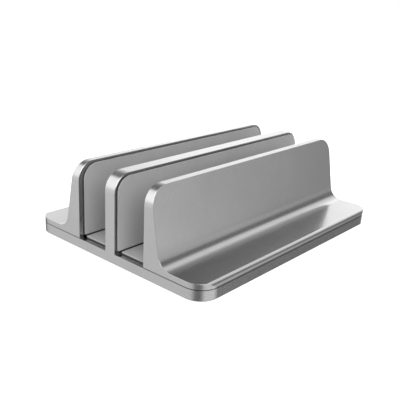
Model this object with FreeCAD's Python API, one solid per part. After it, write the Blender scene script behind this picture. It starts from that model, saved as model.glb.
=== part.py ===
import FreeCAD, Part
import math
import os

# Vertical laptop stand with two slots.
# A thick base plate and its centre wall are one machined piece of aluminium. An L-shaped bracket
# stands on each side of it and makes the outer wall of a slot. Each bracket is clamped from
# beneath by two screws, and slides across the base when they are loosened, so that the slot
# closes on a thinner laptop. Silicone pads line the walls and the floors of the slots.
#
# Millimetres. X runs across the slots, Y runs along them and Z is up. The origin lies in the
# middle of the stand, on the surface that its feet rest on. The brackets are drawn in their
# widest position, with their flanges flush with the edge of the base plate.

# Overall form
stand_length = 180.0
stand_width = 142.0
plan_corner_radius = 12.0
base_thickness = 6.3
wall_rise = 47.4
wall_corner_radius = 11.0
centre_wall_thickness = 8.2
slot_width = 23.5

# Brackets
flange_thickness = 3.7
flange_tip_land = 0.9
bracket_top_thickness = 4.7
bracket_draft_degrees = 10.5
bracket_root_radius = 9.0
bracket_travel = 8.0

# Edge breaks, and the fine groove between a flange and the base plate
outer_edge_chamfer = 0.1
wall_edge_chamfer = 0.15
seam_height = 0.45
seam_depth = 1.2
underside_chamfer = 0.3

# Wall pads
wall_pad_thickness = 1.2
wall_pad_top_margin = 1.4
centre_pad_end_margin = 1.4
bracket_pad_end_margin = 3.2
wall_pad_foot_radius = 2.0
pad_edge_chamfer = 0.25

# Floor pads, and the pockets under the brackets that pass over them
floor_pad_thickness = 1.4
floor_pad_end_margin = 3.7
floor_pad_side_gap = 1.6
floor_pad_corner_radius = 2.0
floor_to_wall_pad_gap = 0.6
pocket_clearance = 0.4
pocket_end_clearance = 0.6

# Clamp screws with low cap heads, their washers and their holes
screw_diameter = 4.0
screw_head_diameter = 7.0
screw_head_height = 2.8
screw_head_chamfer = 0.3
screw_tip_chamfer = 0.5
hex_key_width = 2.5
hex_key_depth = 1.5
thread_engagement = 4.8
thread_clearance = 0.05
tapped_hole_spare = 0.4
tapped_hole_wall = 2.0
screw_spacing = 110.0
washer_diameter = 9.0
washer_thickness = 0.8
washer_bore_clearance = 0.15
clamped_web = 2.4
slot_hole_clearance = 0.25
counterbore_clearance = 0.3

# Feet
foot_diameter = 14.0
foot_projection = 1.5
foot_recess_depth = 1.0
foot_recess_clearance = 0.15
foot_inset = 14.0
foot_edge_chamfer = 0.4

# Heights and places that follow from the sizes above
base_bottom_z = foot_projection
base_top_z = base_bottom_z + base_thickness
wall_top_z = base_top_z + wall_rise
flange_top_z = base_top_z + flange_thickness
flange_tip_radius = flange_thickness - flange_tip_land
half_length = stand_length / 2
half_width = stand_width / 2
centre_face_x = centre_wall_thickness / 2
bracket_face_x = centre_face_x + slot_width
floor_pad_outer_x = bracket_face_x - floor_pad_side_gap
pocket_depth = bracket_travel - floor_pad_side_gap + pocket_end_clearance
tapped_hole_radius = screw_diameter / 2 + thread_clearance
screw_x = bracket_face_x + pocket_depth + tapped_hole_wall + tapped_hole_radius

X_AXIS = FreeCAD.Vector(1, 0, 0)
Y_AXIS = FreeCAD.Vector(0, 1, 0)
Z_AXIS = FreeCAD.Vector(0, 0, 1)
NEAR = 1e-4


def straight_edges(shape, axis):
    """Straight edges of a solid that run along one axis."""
    found = []
    for edge in shape.Edges:
        if isinstance(edge.Curve, Part.Line):
            direction = edge.tangentAt(edge.FirstParameter)
            if abs(direction.dot(axis)) > 1 - NEAR:
                found.append(edge)
    return found


def edges_at_height(shape, height):
    """Edges of a solid that lie level at one height."""
    found = []
    for edge in shape.Edges:
        box = edge.BoundBox
        if abs(box.ZMin - height) < NEAR and abs(box.ZMax - height) < NEAR:
            found.append(edge)
    return found


def rim_of_faces(faces):
    """Edges round the outside of a group of neighbouring faces."""
    edges = []
    counts = {}
    for face in faces:
        for edge in face.Edges:
            key = edge.hashCode()
            counts[key] = counts.get(key, 0) + 1
            edges.append(edge)
    return [edge for edge in edges if counts[edge.hashCode()] == 1]


def block(x_low, x_high, y_low, y_high, z_low, z_high):
    """Box between two opposite corners."""
    corner = FreeCAD.Vector(x_low, y_low, z_low)
    return Part.makeBox(x_high - x_low, y_high - y_low, z_high - z_low, corner)


def mirrored(shape):
    """The same piece on the other side of the centre wall."""
    return shape.mirror(FreeCAD.Vector(0, 0, 0), X_AXIS)


def plan_blank(z_low, z_high, inset=0):
    """Block with the stand's outline seen from above, or with an outline inset from it."""
    blank_x = half_width - inset
    blank_y = half_length - inset
    blank = block(-blank_x, blank_x, -blank_y, blank_y, z_low, z_high)
    return blank.makeFillet(plan_corner_radius - inset, straight_edges(blank, Z_AXIS))


def wall_blank(x_low, x_high, z_low):
    """Block with the outline of a wall seen from its side, with its rounded upper corners."""
    blank = block(x_low, x_high, -half_length, half_length, z_low, wall_top_z)
    upper_edges = [edge for edge in straight_edges(blank, X_AXIS)
                   if edge.BoundBox.ZMin > wall_top_z - NEAR]
    return blank.makeFillet(wall_corner_radius, upper_edges)


def stadium(x_first, x_last, y, width, z_low, z_high):
    """Solid of a slotted hole, whose two end arcs are centred on x_first and x_last."""
    radius = width / 2
    left_low = FreeCAD.Vector(x_first, y - radius, z_low)
    right_low = FreeCAD.Vector(x_last, y - radius, z_low)
    right_end = FreeCAD.Vector(x_last + radius, y, z_low)
    right_high = FreeCAD.Vector(x_last, y + radius, z_low)
    left_high = FreeCAD.Vector(x_first, y + radius, z_low)
    left_end = FreeCAD.Vector(x_first - radius, y, z_low)
    outline = Part.Wire([
        Part.LineSegment(left_low, right_low).toShape(),
        Part.Arc(right_low, right_end, right_high).toShape(),
        Part.LineSegment(right_high, left_high).toShape(),
        Part.Arc(left_high, left_end, left_low).toShape(),
    ])
    return Part.Face(outline).extrude(Z_AXIS * (z_high - z_low))


def screw_rows():
    """Y places of the two screws of a bracket."""
    return [-screw_spacing / 2, screw_spacing / 2]


def foot_places():
    """X and Y of the four feet."""
    foot_x = half_width - foot_inset
    foot_y = half_length - foot_inset
    return {
        "front_left": (-foot_x, -foot_y),
        "front_right": (foot_x, -foot_y),
        "rear_left": (-foot_x, foot_y),
        "rear_right": (foot_x, foot_y),
    }


def make_base():
    """Base plate and centre wall in one piece, with slotted screw holes and foot recesses."""
    plate = plan_blank(base_bottom_z, base_top_z)
    plate = plate.makeChamfer(underside_chamfer, edges_at_height(plate, base_bottom_z))

    # The wall starts inside the plate, so that its own edge breaks run down into the plate.
    wall_root_z = base_bottom_z + base_thickness / 2
    wall = wall_blank(-centre_face_x, centre_face_x, wall_root_z)
    side_faces = [face for face in wall.Faces if face.BoundBox.XLength < NEAR]
    wall_rims = [edge for edge in rim_of_faces(side_faces)
                 if edge.BoundBox.ZMax > wall_root_z + NEAR]
    wall = wall.makeChamfer(wall_edge_chamfer, wall_rims)
    base = plate.fuse(wall).removeSplitter()

    # Each screw hole is a slot as long as the bracket's travel, with a wider slot below it that
    # takes the head and the washer and leaves a web for them to clamp.
    web_z = base_top_z - clamped_web
    shank_width = screw_diameter + 2 * slot_hole_clearance
    head_width = washer_diameter + 2 * counterbore_clearance
    for y in screw_rows():
        shank_slot = stadium(screw_x - bracket_travel, screw_x, y, shank_width,
                             base_bottom_z, base_top_z)
        head_slot = stadium(screw_x - bracket_travel, screw_x, y, head_width,
                            base_bottom_z, web_z)
        hole = shank_slot.fuse(head_slot)
        base = base.cut([hole, mirrored(hole)])

    recess_radius = foot_diameter / 2 + foot_recess_clearance
    for x, y in foot_places().values():
        recess = Part.makeCylinder(recess_radius, foot_recess_depth,
                                   FreeCAD.Vector(x, y, base_bottom_z), Z_AXIS)
        base = base.cut(recess)
    return base


def bracket_section():
    """Outline of the right bracket seen from the front: upright wall, hollow root and flange."""
    draft = math.radians(bracket_draft_degrees)
    top_outer_x = bracket_face_x + bracket_top_thickness
    corner_x = top_outer_x + (wall_top_z - flange_top_z) * math.tan(draft)
    tangent_length = bracket_root_radius / math.tan((math.pi / 2 + draft) / 2)

    def point(x, z):
        return FreeCAD.Vector(x, -half_length, z)

    face_bottom = point(bracket_face_x, base_top_z)
    flange_bottom = point(half_width, base_top_z)
    flange_edge = point(half_width, flange_top_z)
    root_low = point(corner_x + tangent_length, flange_top_z)
    root_high = point(corner_x - tangent_length * math.sin(draft),
                      flange_top_z + tangent_length * math.cos(draft))
    root_centre = root_low + Z_AXIS * bracket_root_radius
    towards_corner = point(corner_x, flange_top_z) - root_centre
    towards_corner.normalize()
    root_middle = root_centre + towards_corner * bracket_root_radius
    top_outer = point(top_outer_x, wall_top_z)
    top_inner = point(bracket_face_x, wall_top_z)
    outline = Part.Wire([
        Part.LineSegment(face_bottom, flange_bottom).toShape(),
        Part.LineSegment(flange_bottom, flange_edge).toShape(),
        Part.LineSegment(flange_edge, root_low).toShape(),
        Part.Arc(root_low, root_middle, root_high).toShape(),
        Part.LineSegment(root_high, top_outer).toShape(),
        Part.LineSegment(top_outer, top_inner).toShape(),
        Part.LineSegment(top_inner, face_bottom).toShape(),
    ])
    return Part.Face(outline)


def bracket_outer_skin(bracket):
    """Faces of the flange's top, the hollow root and the leaning outer side."""
    skin = []
    for face in bracket.Faces:
        first_u, last_u, first_v, last_v = face.ParameterRange
        normal = face.normalAt((first_u + last_u) / 2, (first_v + last_v) / 2)
        box = face.BoundBox
        faces_out = normal.x > NEAR and box.ZMax > flange_top_z + NEAR
        is_flange_top = normal.z > 1 - NEAR and box.ZMax < flange_top_z + NEAR
        if (faces_out and box.YLength > half_length) or is_flange_top:
            skin.append(face)
    return skin


def flange_tip_waste():
    """Strip that is cut away along the upper edge of the flange, to leave it rounded."""
    inner_x = half_width - flange_tip_radius
    low_z = flange_top_z - flange_tip_radius
    outer_x = half_width + flange_tip_radius
    high_z = flange_top_z + flange_tip_radius
    middle = flange_tip_radius * math.sqrt(0.5)

    def point(x, z):
        return FreeCAD.Vector(x, -half_length, z)

    outline = Part.Wire([
        Part.Arc(point(inner_x, flange_top_z), point(inner_x + middle, low_z + middle),
                 point(half_width, low_z)).toShape(),
        Part.LineSegment(point(half_width, low_z), point(outer_x, low_z)).toShape(),
        Part.LineSegment(point(outer_x, low_z), point(outer_x, high_z)).toShape(),
        Part.LineSegment(point(outer_x, high_z), point(inner_x, high_z)).toShape(),
        Part.LineSegment(point(inner_x, high_z), point(inner_x, flange_top_z)).toShape(),
    ])
    return Part.Face(outline).extrude(Y_AXIS * stand_length)


def make_right_bracket():
    """L-shaped bracket, with tapped holes and the pocket that passes over the floor pad."""
    bracket = bracket_section().extrude(Y_AXIS * stand_length)
    bracket = bracket.common(plan_blank(base_top_z, wall_top_z))
    bracket = bracket.common(wall_blank(0, half_width, base_top_z))
    bracket = bracket.makeChamfer(outer_edge_chamfer, rim_of_faces(bracket_outer_skin(bracket)))

    inner_faces = [face for face in bracket.Faces
                   if face.BoundBox.XLength < NEAR and face.BoundBox.XMin < bracket_face_x + NEAR]
    inner_rim = [edge for edge in rim_of_faces(inner_faces)
                 if edge.BoundBox.ZMax > base_top_z + NEAR]
    bracket = bracket.makeChamfer(wall_edge_chamfer, inner_rim)
    bracket = bracket.cut(flange_tip_waste())

    seam_top_z = base_top_z + seam_height
    seam_core = plan_blank(base_top_z, seam_top_z, seam_depth)
    bracket = bracket.cut(plan_blank(base_top_z, seam_top_z).cut(seam_core))

    pocket_half_length = half_length - floor_pad_end_margin + pocket_end_clearance
    pocket = block(0, bracket_face_x + pocket_depth, -pocket_half_length, pocket_half_length,
                   base_top_z, base_top_z + floor_pad_thickness + pocket_clearance)
    bracket = bracket.cut(pocket)

    for y in screw_rows():
        hole = Part.makeCylinder(tapped_hole_radius, thread_engagement + tapped_hole_spare,
                                 FreeCAD.Vector(screw_x, y, base_top_z), Z_AXIS)
        bracket = bracket.cut(hole)
    return bracket


def make_wall_pad(wall_x, show_x, end_margin):
    """Silicone pad from its wall at wall_x to its show side at show_x, inside a margin."""
    pad_half_length = half_length - end_margin
    bottom_z = base_top_z + floor_pad_thickness + floor_to_wall_pad_gap
    pad = block(min(wall_x, show_x), max(wall_x, show_x), -pad_half_length, pad_half_length,
                bottom_z, wall_top_z - wall_pad_top_margin)
    upper_edges = [edge for edge in straight_edges(pad, X_AXIS)
                   if edge.BoundBox.ZMin > bottom_z + NEAR]
    pad = pad.makeFillet(wall_corner_radius - wall_pad_top_margin, upper_edges)
    lower_edges = [edge for edge in straight_edges(pad, X_AXIS)
                   if edge.BoundBox.ZMax < bottom_z + NEAR]
    pad = pad.makeFillet(wall_pad_foot_radius, lower_edges)
    show_faces = [face for face in pad.Faces
                  if face.BoundBox.XLength < NEAR and abs(face.BoundBox.XMin - show_x) < NEAR]
    return pad.makeChamfer(pad_edge_chamfer, rim_of_faces(show_faces))


def make_right_floor_pad():
    """Silicone pad on the floor of the right slot."""
    pad_half_length = half_length - floor_pad_end_margin
    top_z = base_top_z + floor_pad_thickness
    pad = block(centre_face_x + floor_pad_side_gap, floor_pad_outer_x,
                -pad_half_length, pad_half_length, base_top_z, top_z)
    pad = pad.makeFillet(floor_pad_corner_radius, straight_edges(pad, Z_AXIS))
    return pad.makeChamfer(pad_edge_chamfer, edges_at_height(pad, top_z))


def make_screw(x, y):
    """Cap screw with a low head, pointing up, with a hexagon socket in its head."""
    seat_z = base_top_z - clamped_web - washer_thickness
    low_z = seat_z - screw_head_height
    tip_z = base_top_z + thread_engagement
    head = Part.makeCylinder(screw_head_diameter / 2, screw_head_height,
                             FreeCAD.Vector(x, y, low_z), Z_AXIS)
    head = head.makeChamfer(screw_head_chamfer, edges_at_height(head, low_z))
    shank = Part.makeCylinder(screw_diameter / 2, tip_z - seat_z,
                              FreeCAD.Vector(x, y, seat_z), Z_AXIS)
    shank = shank.makeChamfer(screw_tip_chamfer, edges_at_height(shank, tip_z))

    corner_radius = hex_key_width / math.sqrt(3)
    corners = []
    for step in range(7):
        angle = math.radians(60 * step)
        corners.append(FreeCAD.Vector(x + corner_radius * math.cos(angle),
                                      y + corner_radius * math.sin(angle), low_z))
    socket = Part.Face(Part.makePolygon(corners)).extrude(Z_AXIS * hex_key_depth)
    return head.fuse(shank).cut(socket)


def make_washer(x, y):
    """Plain washer between a screw's head and the web of the base plate."""
    place = FreeCAD.Vector(x, y, base_top_z - clamped_web - washer_thickness)
    bore_radius = screw_diameter / 2 + washer_bore_clearance
    disc = Part.makeCylinder(washer_diameter / 2, washer_thickness, place, Z_AXIS)
    return disc.cut(Part.makeCylinder(bore_radius, washer_thickness, place, Z_AXIS))


def make_foot(x, y):
    """Round rubber foot, glued into its recess under the base plate."""
    foot = Part.makeCylinder(foot_diameter / 2, foot_projection + foot_recess_depth,
                             FreeCAD.Vector(x, y, 0), Z_AXIS)
    return foot.makeChamfer(foot_edge_chamfer, edges_at_height(foot, 0))


def make_pieces():
    """Every piece of the stand, by its name."""
    right_bracket = make_right_bracket()
    centre_right_pad = make_wall_pad(centre_face_x, centre_face_x + wall_pad_thickness,
                                     centre_pad_end_margin)
    right_wall_pad = make_wall_pad(bracket_face_x, bracket_face_x - wall_pad_thickness,
                                   bracket_pad_end_margin)
    right_floor_pad = make_right_floor_pad()
    pieces = {
        "base_with_centre_wall": make_base(),
        "left_bracket": mirrored(right_bracket),
        "right_bracket": right_bracket,
        "centre_wall_left_pad": mirrored(centre_right_pad),
        "centre_wall_right_pad": centre_right_pad,
        "left_bracket_pad": mirrored(right_wall_pad),
        "right_bracket_pad": right_wall_pad,
        "left_floor_pad": mirrored(right_floor_pad),
        "right_floor_pad": right_floor_pad,
    }
    for side, x in (("left", -screw_x), ("right", screw_x)):
        for end, y in zip(("front", "rear"), screw_rows()):
            pieces[side + "_" + end + "_clamp_screw"] = make_screw(x, y)
            pieces[side + "_" + end + "_washer"] = make_washer(x, y)
    for place, (x, y) in foot_places().items():
        pieces[place + "_foot"] = make_foot(x, y)
    return pieces


os.makedirs("parts", exist_ok=True)
for name, shape in make_pieces().items():
    shape.exportStep("parts/" + name + ".step")
    print(name, len(shape.Solids), "solid", round(shape.Volume, 1), "mm3")
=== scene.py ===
import math

import bmesh
import bpy
from mathutils import Matrix, Vector


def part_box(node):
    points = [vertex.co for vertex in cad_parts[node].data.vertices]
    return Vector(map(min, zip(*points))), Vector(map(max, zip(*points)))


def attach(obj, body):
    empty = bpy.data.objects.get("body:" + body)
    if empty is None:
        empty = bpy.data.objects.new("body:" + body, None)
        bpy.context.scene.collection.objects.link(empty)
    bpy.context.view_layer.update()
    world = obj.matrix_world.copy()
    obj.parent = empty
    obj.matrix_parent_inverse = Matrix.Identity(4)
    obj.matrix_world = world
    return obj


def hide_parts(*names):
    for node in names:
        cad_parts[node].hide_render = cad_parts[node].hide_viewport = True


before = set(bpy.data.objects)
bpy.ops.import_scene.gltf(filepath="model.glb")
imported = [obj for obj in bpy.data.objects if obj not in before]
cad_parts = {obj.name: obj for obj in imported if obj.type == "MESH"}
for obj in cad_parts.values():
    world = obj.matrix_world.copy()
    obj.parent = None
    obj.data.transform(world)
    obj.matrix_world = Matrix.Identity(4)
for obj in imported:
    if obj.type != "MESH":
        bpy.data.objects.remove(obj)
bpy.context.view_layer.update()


# Studio camera
# The photograph's viewpoint, found from the stand's own straight edges. The stand's centre on the
# underside of the base plate falls on the pixel below, in the photograph's 400 by 400 frame.
PHOTO_PIXELS = 400
FOCAL_PIXELS = 614.3
CENTRE_PIXEL = (210.9, 224.25)
SENSOR_MM = 36.0
CAMERA_AZIMUTH = math.radians(40.62)
CAMERA_ELEVATION = math.radians(19.38)
CAMERA_ROLL = math.radians(2.89)
CAMERA_DISTANCE = 0.4202
NEAREST_SEEN = 0.01

underside_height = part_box("base_with_centre_wall")[0].z
back = Vector((
    math.sin(CAMERA_AZIMUTH) * math.cos(CAMERA_ELEVATION),
    -math.cos(CAMERA_AZIMUTH) * math.cos(CAMERA_ELEVATION),
    math.sin(CAMERA_ELEVATION),
))
level_right = Vector((math.cos(CAMERA_AZIMUTH), math.sin(CAMERA_AZIMUTH), 0.0))
level_up = back.cross(level_right)
camera_right = level_right * math.cos(CAMERA_ROLL) + level_up * math.sin(CAMERA_ROLL)
camera_up = level_up * math.cos(CAMERA_ROLL) - level_right * math.sin(CAMERA_ROLL)
metres_per_pixel = CAMERA_DISTANCE / FOCAL_PIXELS
aside = (CENTRE_PIXEL[0] - PHOTO_PIXELS / 2) * metres_per_pixel
above = (PHOTO_PIXELS / 2 - CENTRE_PIXEL[1]) * metres_per_pixel
camera_place = (
    Vector((0.0, 0.0, underside_height)) + back * CAMERA_DISTANCE
    - camera_right * aside - camera_up * above
)
camera_data = bpy.data.cameras.new("studio_camera")
camera_data.sensor_width = SENSOR_MM
camera_data.lens = FOCAL_PIXELS * SENSOR_MM / PHOTO_PIXELS
camera_data.clip_start = NEAREST_SEEN
camera = bpy.data.objects.new("studio_camera", camera_data)
turn = Matrix((camera_right, camera_up, back)).transposed().to_4x4()
camera.matrix_world = Matrix.Translation(camera_place) @ turn
bpy.context.scene.collection.objects.link(camera)
bpy.context.scene.camera = camera
bpy.context.scene.view_settings.view_transform = "Standard"


# Studio light
# Large soft white cards round the stand in a dim room, as for a product photograph of bare metal.
# Each is a patch of the surroundings: the azimuth and height of its middle, half its width and how
# far its edge fades each way, all in degrees, and its light. The camera itself sees plain white.
ROOM_LIGHT = 0.29
LIGHT_CARDS = [
    ("bright card in front on the left", -141, 25, 27, 7, 1.3),
    ("tall card in front on the left", -138, 20, 36, 9, 0.5),
    ("card in front", -95, 26, 28, 18, 0.75),
    ("white table in front", -126, -43, 37, 10, 0.78),
    ("soft box on the right", -34, 38, 25, 10, 4.2),
    ("white table on the right", 3, -20, 32, 14, 0.95),
    ("narrow card on the right", 33, 2, 24, 8, 0.5),
    ("wall behind", 107, 0, 28, 10, 1.57),
    ("wall behind on the left", 156, 4, 26, 11, 1.5),
    ("card leaning over from behind", 100, 42, 22, 7, 1.1),
]
BACKDROP_WHITE = (1.0, 1.0, 1.0, 1.0)

world = bpy.data.worlds.new("studio")
bpy.context.scene.world = world
world.use_nodes = True
room = world.node_tree
room.nodes.clear()
look = room.nodes.new("ShaderNodeTexCoord")
total = None
for card_name, azimuth, height, half_width, soft_edge, light in LIGHT_CARDS:
    azimuth = math.radians(azimuth)
    height = math.radians(height)
    facing = room.nodes.new("ShaderNodeVectorMath")
    facing.operation = "DOT_PRODUCT"
    facing.label = card_name
    facing.inputs[1].default_value = (
        math.cos(azimuth) * math.cos(height),
        math.sin(azimuth) * math.cos(height),
        math.sin(height),
    )
    room.links.new(look.outputs["Generated"], facing.inputs[0])
    patch = room.nodes.new("ShaderNodeMapRange")
    patch.interpolation_type = "SMOOTHSTEP"
    patch.inputs["From Min"].default_value = math.cos(math.radians(half_width + soft_edge))
    patch.inputs["From Max"].default_value = math.cos(math.radians(half_width - soft_edge))
    patch.inputs["To Min"].default_value = 0.0
    patch.inputs["To Max"].default_value = light
    room.links.new(facing.outputs["Value"], patch.inputs["Value"])
    running = room.nodes.new("ShaderNodeMath")
    running.operation = "ADD"
    running.inputs[0].default_value = ROOM_LIGHT
    if total is not None:
        room.links.new(total, running.inputs[0])
    room.links.new(patch.outputs["Result"], running.inputs[1])
    total = running.outputs["Value"]
glow = room.nodes.new("ShaderNodeBackground")
room.links.new(total, glow.inputs["Strength"])
backdrop = room.nodes.new("ShaderNodeBackground")
backdrop.inputs["Color"].default_value = BACKDROP_WHITE
seen = room.nodes.new("ShaderNodeLightPath")
choice = room.nodes.new("ShaderNodeMixShader")
room.links.new(seen.outputs["Is Camera Ray"], choice.inputs[0])
room.links.new(glow.outputs["Background"], choice.inputs[1])
room.links.new(backdrop.outputs["Background"], choice.inputs[2])
room_output = room.nodes.new("ShaderNodeOutputWorld")
room.links.new(choice.outputs["Shader"], room_output.inputs["Surface"])


# Studio floor
# A plain white table under the stand, which glows a little, so that it stays pale out to the edge
# of the picture, and keeps the soft shade under the stand. From beneath it lets the view through.
TABLE_HALF_SIZE = 6.0
TABLE_WHITE = (0.8, 0.8, 0.8, 1.0)
TABLE_ROUGHNESS = 0.9
TABLE_GLOW = 0.8

table_shape = bmesh.new()
bmesh.ops.create_grid(table_shape, x_segments=1, y_segments=1, size=TABLE_HALF_SIZE)
table_mesh = bpy.data.meshes.new("table_top")
table_shape.to_mesh(table_mesh)
table_shape.free()
table = bpy.data.objects.new("table_top", table_mesh)
bpy.context.scene.collection.objects.link(table)
table.visible_glossy = False
table.visible_diffuse = False
table.visible_shadow = False
white = bpy.data.materials.new("white_table")
white.use_nodes = True
white_tree = white.node_tree
white_surface = white_tree.nodes["Principled BSDF"]
white_surface.inputs["Base Color"].default_value = TABLE_WHITE
white_surface.inputs["Roughness"].default_value = TABLE_ROUGHNESS
white_surface.inputs["Specular IOR Level"].default_value = 0.0
white_surface.inputs["Emission Color"].default_value = BACKDROP_WHITE
white_surface.inputs["Emission Strength"].default_value = TABLE_GLOW
from_beneath = white_tree.nodes.new("ShaderNodeNewGeometry")
clear = white_tree.nodes.new("ShaderNodeBsdfTransparent")
one_way = white_tree.nodes.new("ShaderNodeMixShader")
white_output = white_tree.nodes["Material Output"]
white_tree.links.new(from_beneath.outputs["Backfacing"], one_way.inputs[0])
white_tree.links.new(white_surface.outputs["BSDF"], one_way.inputs[1])
white_tree.links.new(clear.outputs["BSDF"], one_way.inputs[2])
white_tree.links.new(one_way.outputs["Shader"], white_output.inputs["Surface"])
table_mesh.materials.append(white)


# Base plate with centre wall
# One machined piece of aluminium, bead blasted to a fine even grain and clear anodised, with
# its edges broken. The plate's upright edges and the wall's upper corners are rounded.
GRAIN_DETAIL = 3.0
CLOUDS_PER_METRE = 35.0
CLOUD_DETAIL = 2.0
NOISE_LOW, NOISE_HIGH = 0.3, 0.7
EDGE_SAMPLES = 4
EDGE_STARTS, EDGE_FULL = 0.995, 0.90
# Painted shade: seams and tight corners, found by ambient occlusion, are darkened in the colour of
# every finish.
CREVICE_SAMPLES = 8
CREVICE_REACH = 0.001
CREVICE_STARTS, CREVICE_FULL = 0.45, 0.10
ALUMINIUM_GRAIN = (6500.0, 0.00001, 0.15)
ALUMINIUM_EDGE_WIDTH = 0.0002
ALUMINIUM_TONES = ((0.48, 0.48, 0.485, 1.0), (0.51, 0.51, 0.515, 1.0))
ALUMINIUM_EDGE = (0.56, 0.56, 0.565, 1.0)
# The aluminium's colour in seams and tight corners is painted shade.
ALUMINIUM_PAINTED_SHADE = (0.10, 0.10, 0.10, 1.0)
ALUMINIUM_ROUGHNESS = (0.09, 0.36)


def shader_group(name, inputs, outputs):
    """A new shader group with named number inputs, and the nodes where values enter and leave."""
    group = bpy.data.node_groups.new(name, "ShaderNodeTree")
    for socket_name, default in inputs:
        socket = group.interface.new_socket(
            socket_name, in_out="INPUT", socket_type="NodeSocketFloat",
        )
        socket.default_value = default
    for socket_name, kind in outputs:
        group.interface.new_socket(socket_name, in_out="OUTPUT", socket_type=kind)
    return group, group.nodes.new("NodeGroupInput"), group.nodes.new("NodeGroupOutput")


def grain_group():
    """Fine even grain of a blasted or moulded surface, with slow clouds, as values and a normal."""
    group, entry, leave = shader_group(
        "fine_grain",
        (("Grains Per Metre", 3000.0), ("Depth", 0.00001), ("Strength", 0.2)),
        (
            ("Grain", "NodeSocketFloat"),
            ("Cloud", "NodeSocketFloat"),
            ("Normal", "NodeSocketVector"),
        ),
    )
    place = group.nodes.new("ShaderNodeTexCoord")
    fine = group.nodes.new("ShaderNodeTexNoise")
    fine.inputs["Detail"].default_value = GRAIN_DETAIL
    cloud = group.nodes.new("ShaderNodeTexNoise")
    cloud.inputs["Scale"].default_value = CLOUDS_PER_METRE
    cloud.inputs["Detail"].default_value = CLOUD_DETAIL
    bump = group.nodes.new("ShaderNodeBump")
    group.links.new(place.outputs["Object"], fine.inputs["Vector"])
    group.links.new(place.outputs["Object"], cloud.inputs["Vector"])
    group.links.new(entry.outputs["Grains Per Metre"], fine.inputs["Scale"])
    group.links.new(fine.outputs["Fac"], bump.inputs["Height"])
    group.links.new(entry.outputs["Depth"], bump.inputs["Distance"])
    group.links.new(entry.outputs["Strength"], bump.inputs["Strength"])
    group.links.new(fine.outputs["Fac"], leave.inputs["Grain"])
    group.links.new(cloud.outputs["Fac"], leave.inputs["Cloud"])
    group.links.new(bump.outputs["Normal"], leave.inputs["Normal"])
    return group


def edge_group():
    """How near the surface is to one of its edges: 0 away from them and 1 on an edge."""
    group, entry, leave = shader_group(
        "edge_rub", (("Width", 0.0003),), (("Edge", "NodeSocketFloat"),),
    )
    rounded = group.nodes.new("ShaderNodeBevel")
    rounded.samples = EDGE_SAMPLES
    plain = group.nodes.new("ShaderNodeNewGeometry")
    agree = group.nodes.new("ShaderNodeVectorMath")
    agree.operation = "DOT_PRODUCT"
    mask = group.nodes.new("ShaderNodeMapRange")
    mask.inputs["From Min"].default_value = EDGE_STARTS
    mask.inputs["From Max"].default_value = EDGE_FULL
    group.links.new(entry.outputs["Width"], rounded.inputs["Radius"])
    group.links.new(rounded.outputs["Normal"], agree.inputs[0])
    group.links.new(plain.outputs["Normal"], agree.inputs[1])
    group.links.new(agree.outputs["Value"], mask.inputs["Value"])
    group.links.new(mask.outputs["Result"], leave.inputs["Edge"])
    return group


def crevice_shade_group():
    """Painted shade: how deep in a seam or a tight corner the surface lies, 0 in the open and 1
    inside it, where the colour is darkened.
    """
    group, entry, leave = shader_group(
        "painted_crevice_shade", (("Reach", CREVICE_REACH),), (("Painted Crevice Shade", "NodeSocketFloat"),),
    )
    openness = group.nodes.new("ShaderNodeAmbientOcclusion")
    openness.samples = CREVICE_SAMPLES
    mask = group.nodes.new("ShaderNodeMapRange")
    mask.inputs["From Min"].default_value = CREVICE_STARTS
    mask.inputs["From Max"].default_value = CREVICE_FULL
    group.links.new(entry.outputs["Reach"], openness.inputs["Distance"])
    group.links.new(openness.outputs["AO"], mask.inputs["Value"])
    group.links.new(mask.outputs["Result"], leave.inputs["Painted Crevice Shade"])
    return group


fine_grain = grain_group()
edge_rub = edge_group()
painted_crevice_shade = crevice_shade_group()


def placed(tree, group, values):
    """Places a shader group in a material, with the material's own values, for its outputs."""
    node = tree.nodes.new("ShaderNodeGroup")
    node.node_tree = group
    for socket_name, value in values.items():
        node.inputs[socket_name].default_value = value
    return node.outputs


def between(tree, noise, low, high):
    """The noise's usual range, stretched between a low and a high value."""
    spread = tree.nodes.new("ShaderNodeMapRange")
    spread.inputs["From Min"].default_value = NOISE_LOW
    spread.inputs["From Max"].default_value = NOISE_HIGH
    spread.inputs["To Min"].default_value = low
    spread.inputs["To Max"].default_value = high
    tree.links.new(noise, spread.inputs["Value"])
    return spread.outputs["Result"]


def tones(tree, noise, dark, light):
    """The noise's usual range, as a colour between a dark and a light one."""
    ramp = tree.nodes.new("ShaderNodeValToRGB")
    first, last = ramp.color_ramp.elements
    first.position, last.position = NOISE_LOW, NOISE_HIGH
    first.color, last.color = dark, light
    tree.links.new(noise, ramp.inputs["Fac"])
    return ramp.outputs["Color"]


def turned(tree, mask, colour, other):
    """The colour, turning to another one where the mask is."""
    mix = tree.nodes.new("ShaderNodeMix")
    mix.data_type = "RGBA"
    factor, under, over = mix.inputs[0], mix.inputs[6], mix.inputs[7]
    over.default_value = other
    tree.links.new(mask, factor)
    tree.links.new(colour, under)
    return mix.outputs[2]


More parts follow.
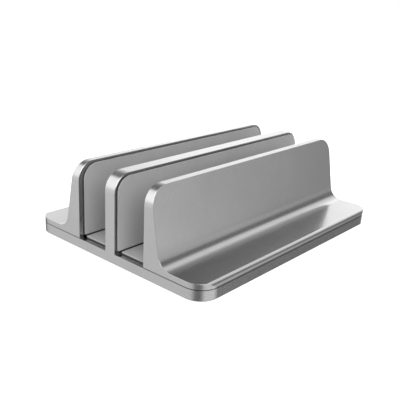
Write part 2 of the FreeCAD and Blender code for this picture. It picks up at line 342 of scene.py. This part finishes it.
def finish_of(name, grain, edge_width, tone, edge, painted_shade, roughness, on_shader=None):
    """A material with its grain, whose roughness varies, clouds of tone, rubbed edges, and painted
    shade darkening its seams and tight corners.
    """
    material = bpy.data.materials.new(name)
    material.use_nodes = True
    tree = material.node_tree
    surface = tree.nodes["Principled BSDF"]
    for socket_name, value in (on_shader or {}).items():
        surface.inputs[socket_name].default_value = value
    grain_values = dict(zip(("Grains Per Metre", "Depth", "Strength"), grain))
    texture = placed(tree, fine_grain, grain_values)
    rubbed = placed(tree, edge_rub, {"Width": edge_width})
    seam_shade = placed(tree, painted_crevice_shade, {"Reach": CREVICE_REACH})
    colour = tones(tree, texture["Cloud"], *tone)
    colour = turned(tree, rubbed["Edge"], colour, edge)
    # Painted shade: the colour turns dark in seams and tight corners.
    colour = turned(tree, seam_shade["Painted Crevice Shade"], colour, painted_shade)
    tree.links.new(colour, surface.inputs["Base Color"])
    tree.links.new(between(tree, texture["Grain"], *roughness), surface.inputs["Roughness"])
    tree.links.new(texture["Normal"], surface.inputs["Normal"])
    return material


def dress(node, material):
    """Gives a piece of the frame its finish."""
    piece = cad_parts[node]
    piece.data.materials.clear()
    piece.data.materials.append(material)


aluminium = finish_of(
    "anodised_aluminium", ALUMINIUM_GRAIN, ALUMINIUM_EDGE_WIDTH, ALUMINIUM_TONES,
    ALUMINIUM_EDGE, ALUMINIUM_PAINTED_SHADE, ALUMINIUM_ROUGHNESS, {"Metallic": 1.0},
)
dress("base_with_centre_wall", aluminium)


# Side brackets
# Two L-shaped pieces of the same aluminium and finish, one the mirror image of the other.
# Each is clamped to the base plate from beneath, with a fine dark seam under its flange.
dress("left_bracket", aluminium)
dress("right_bracket", aluminium)


# Pads on the walls of the slots
# Sheets of matt grey silicone on a layer of black adhesive foam, glued to both faces of the
# centre wall and to the inner faces of the brackets. The foam's dark edge is painted shade,
# standing in for the shade along the pads' edges. The foam is cut a little smaller than the
# silicone, whose rounded corners and small soft rim are moulded.
SILICONE_GRAIN = (4200.0, 0.00003, 0.3)
SILICONE_EDGE_WIDTH = 0.0002
SILICONE_TONES = ((0.395, 0.395, 0.40, 1.0), (0.445, 0.445, 0.45, 1.0))
SILICONE_EDGE = (0.44, 0.44, 0.445, 1.0)
# The silicone's colour in seams and tight corners is painted shade.
SILICONE_PAINTED_SHADE = (0.16, 0.16, 0.16, 1.0)
SILICONE_ROUGHNESS = (0.52, 0.72)
SILICONE_GLOSS = 0.3
SHADE_FOAM_GRAIN = (3000.0, 0.00008, 0.5)
SHADE_FOAM_EDGE_WIDTH = 0.0002
# Painted shade: the foam's near-black colour stands in for the shade along the pads' edges.
SHADE_FOAM_TONES = ((0.055, 0.055, 0.056, 1.0), (0.080, 0.080, 0.081, 1.0))
SHADE_FOAM_EDGE = (0.09, 0.09, 0.091, 1.0)
# The foam's colour in seams and tight corners is painted shade.
SHADE_FOAM_PAINTED_SHADE = (0.02, 0.02, 0.02, 1.0)
SHADE_FOAM_ROUGHNESS = (0.8, 0.95)
SHADE_FOAM_INSET = 0.00015
WALL_SHEET_THICKNESS = 0.0003
WALL_RIM_RADIUS = 0.00012
WALL_PAD_UPPER_RADIUS = 0.0096
WALL_PAD_LOWER_RADIUS = 0.001
PAD_CORNER_STEPS = 14
PAD_RIM_STEPS = 3
SAME_DIRECTION = 0.99
SHEET, SHADE_FOAM = 0, 1
TO_THE_LEFT = Vector((-1.0, 0.0, 0.0))
TO_THE_RIGHT = Vector((1.0, 0.0, 0.0))

silicone = finish_of(
    "grey_silicone", SILICONE_GRAIN, SILICONE_EDGE_WIDTH, SILICONE_TONES,
    SILICONE_EDGE, SILICONE_PAINTED_SHADE, SILICONE_ROUGHNESS, {"Specular IOR Level": SILICONE_GLOSS},
)
# The black foam layer, whose dark edge is painted shade along the pads' edges.
shade_foam = finish_of(
    "black_foam_painted_shade", SHADE_FOAM_GRAIN, SHADE_FOAM_EDGE_WIDTH, SHADE_FOAM_TONES,
    SHADE_FOAM_EDGE, SHADE_FOAM_PAINTED_SHADE, SHADE_FOAM_ROUGHNESS,
)


def add_layer(pad, low, high, free_side, corner_radii, rim_radius, material_index):
    """Adds one flat layer to the pad, with rounded corners and a rounded rim on its free side."""
    middle = (low + high) / 2
    verts = bmesh.ops.create_cube(pad, size=1.0)["verts"]
    bmesh.ops.scale(pad, vec=high - low, verts=verts)
    bmesh.ops.translate(pad, vec=middle, verts=verts)
    for vert in verts:
        for face in vert.link_faces:
            face.material_index = material_index
    upper_corners, lower_corners = [], []
    for edge in [edge for edge in pad.edges if edge.verts[0] in verts]:
        start, end = (vert.co for vert in edge.verts)
        if abs((end - start).normalized().dot(free_side)) > SAME_DIRECTION:
            is_upper = (start.z + end.z) / 2 > middle.z + rim_radius
            (upper_corners if is_upper else lower_corners).append(edge)
    rounding = {"offset_type": "OFFSET", "profile": 0.5, "affect": "EDGES", "material": -1}
    for corners, radius in zip((upper_corners, lower_corners), corner_radii):
        if corners:
            bmesh.ops.bevel(
                pad, geom=corners, offset=radius, segments=PAD_CORNER_STEPS, **rounding,
            )
    if rim_radius:
        rim = [
            edge for edge in pad.edges
            if sum(face.normal.dot(free_side) > SAME_DIRECTION for face in edge.link_faces) == 1
        ]
        rounded = bmesh.ops.bevel(
            pad, geom=rim, offset=rim_radius, segments=PAD_RIM_STEPS, **rounding,
        )
        for face in rounded["faces"]:
            face.smooth = True


def silicone_pad(node, body, free_side, corner_radii, sheet_thickness, rim_radius):
    """A pad as large as its node: a sheet of silicone with black foam, whose dark edge is painted
    shade, between it and the metal.
    """
    low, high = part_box(node)
    across = Vector(abs(part) for part in free_side)
    inset = (Vector((1.0, 1.0, 1.0)) - across) * SHADE_FOAM_INSET
    shade_foam_thickness = (high - low).dot(across) - sheet_thickness
    if free_side.dot(across) > 0:
        sheet_low, sheet_high = low + across * shade_foam_thickness, high
        shade_foam_low, shade_foam_high = low, high - across * sheet_thickness
    else:
        sheet_low, sheet_high = low, high - across * shade_foam_thickness
        shade_foam_low, shade_foam_high = low + across * sheet_thickness, high
    shade_foam_radii = [radius - SHADE_FOAM_INSET for radius in corner_radii]
    pad_shape = bmesh.new()
    add_layer(pad_shape, sheet_low, sheet_high, free_side, corner_radii, rim_radius, SHEET)
    add_layer(pad_shape, shade_foam_low + inset, shade_foam_high - inset, free_side, shade_foam_radii, 0.0, SHADE_FOAM)
    mesh = bpy.data.meshes.new(node + "_sheet")
    pad_shape.to_mesh(mesh)
    pad_shape.free()
    mesh.materials.append(silicone)
    mesh.materials.append(shade_foam)
    pad = bpy.data.objects.new(node + "_sheet", mesh)
    bpy.context.scene.collection.objects.link(pad)
    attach(pad, body)
    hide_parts(node)


for node, body, free_side in (
    ("left_bracket_pad", "left_bracket_body", TO_THE_RIGHT),
    ("right_bracket_pad", "right_bracket_body", TO_THE_LEFT),
    ("centre_wall_left_pad", "base", TO_THE_LEFT),
    ("centre_wall_right_pad", "base", TO_THE_RIGHT),
):
    silicone_pad(
        node, body, free_side, (WALL_PAD_UPPER_RADIUS, WALL_PAD_LOWER_RADIUS),
        WALL_SHEET_THICKNESS, WALL_RIM_RADIUS,
    )


# Pads on the floors of the slots
# The same silicone and black foam, the foam's dark edge painted shade, glued to the base plate
# between the walls, with a dark gap left beside them. The silicone is thicker here and its rim
# rounder, where the laptop is set down.
FLOOR_PAD_RADIUS = 0.0008
FLOOR_SHEET_THICKNESS = 0.0005
FLOOR_RIM_RADIUS = 0.00035
UPWARD = Vector((0.0, 0.0, 1.0))

for node in ("left_floor_pad", "right_floor_pad"):
    silicone_pad(
        node, "base", UPWARD, (FLOOR_PAD_RADIUS, FLOOR_PAD_RADIUS),
        FLOOR_SHEET_THICKNESS, FLOOR_RIM_RADIUS,
    )


# Clamp screws and washers
# Low cap head screws, M4 by 8, with a hexagon socket, that hold each bracket from beneath
# through a slotted hole. Screws and washers are steel, bright zinc plated.
ZINC_GRAIN = (2600.0, 0.00001, 0.25)
ZINC_EDGE_WIDTH = 0.00015
ZINC_TONES = ((0.60, 0.61, 0.63, 1.0), (0.69, 0.69, 0.68, 1.0))
ZINC_EDGE = (0.78, 0.78, 0.77, 1.0)
# The zinc's colour in seams and tight corners is painted shade.
ZINC_PAINTED_SHADE = (0.12, 0.12, 0.12, 1.0)
ZINC_ROUGHNESS = (0.22, 0.42)

zinc = finish_of(
    "zinc_plated_steel", ZINC_GRAIN, ZINC_EDGE_WIDTH, ZINC_TONES,
    ZINC_EDGE, ZINC_PAINTED_SHADE, ZINC_ROUGHNESS, {"Metallic": 1.0},
)
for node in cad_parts:
    if node.endswith(("_clamp_screw", "_washer")):
        dress(node, zinc)


# Feet
# Four round feet of matt black rubber, moulded with a broken edge. Each is glued into a shallow
# recess under a corner of the base plate, and stands a little proud of it.
RUBBER_GRAIN = (1800.0, 0.00005, 0.4)
RUBBER_EDGE_WIDTH = 0.0004
RUBBER_TONES = ((0.016, 0.016, 0.017, 1.0), (0.034, 0.034, 0.035, 1.0))
RUBBER_EDGE = (0.055, 0.055, 0.056, 1.0)
# The rubber's colour in seams and tight corners is painted shade.
RUBBER_PAINTED_SHADE = (0.01, 0.01, 0.01, 1.0)
RUBBER_ROUGHNESS = (0.62, 0.85)

rubber = finish_of(
    "black_rubber", RUBBER_GRAIN, RUBBER_EDGE_WIDTH, RUBBER_TONES,
    RUBBER_EDGE, RUBBER_PAINTED_SHADE, RUBBER_ROUGHNESS,
)
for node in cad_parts:
    if node.endswith("_foot"):
        dress(node, rubber)
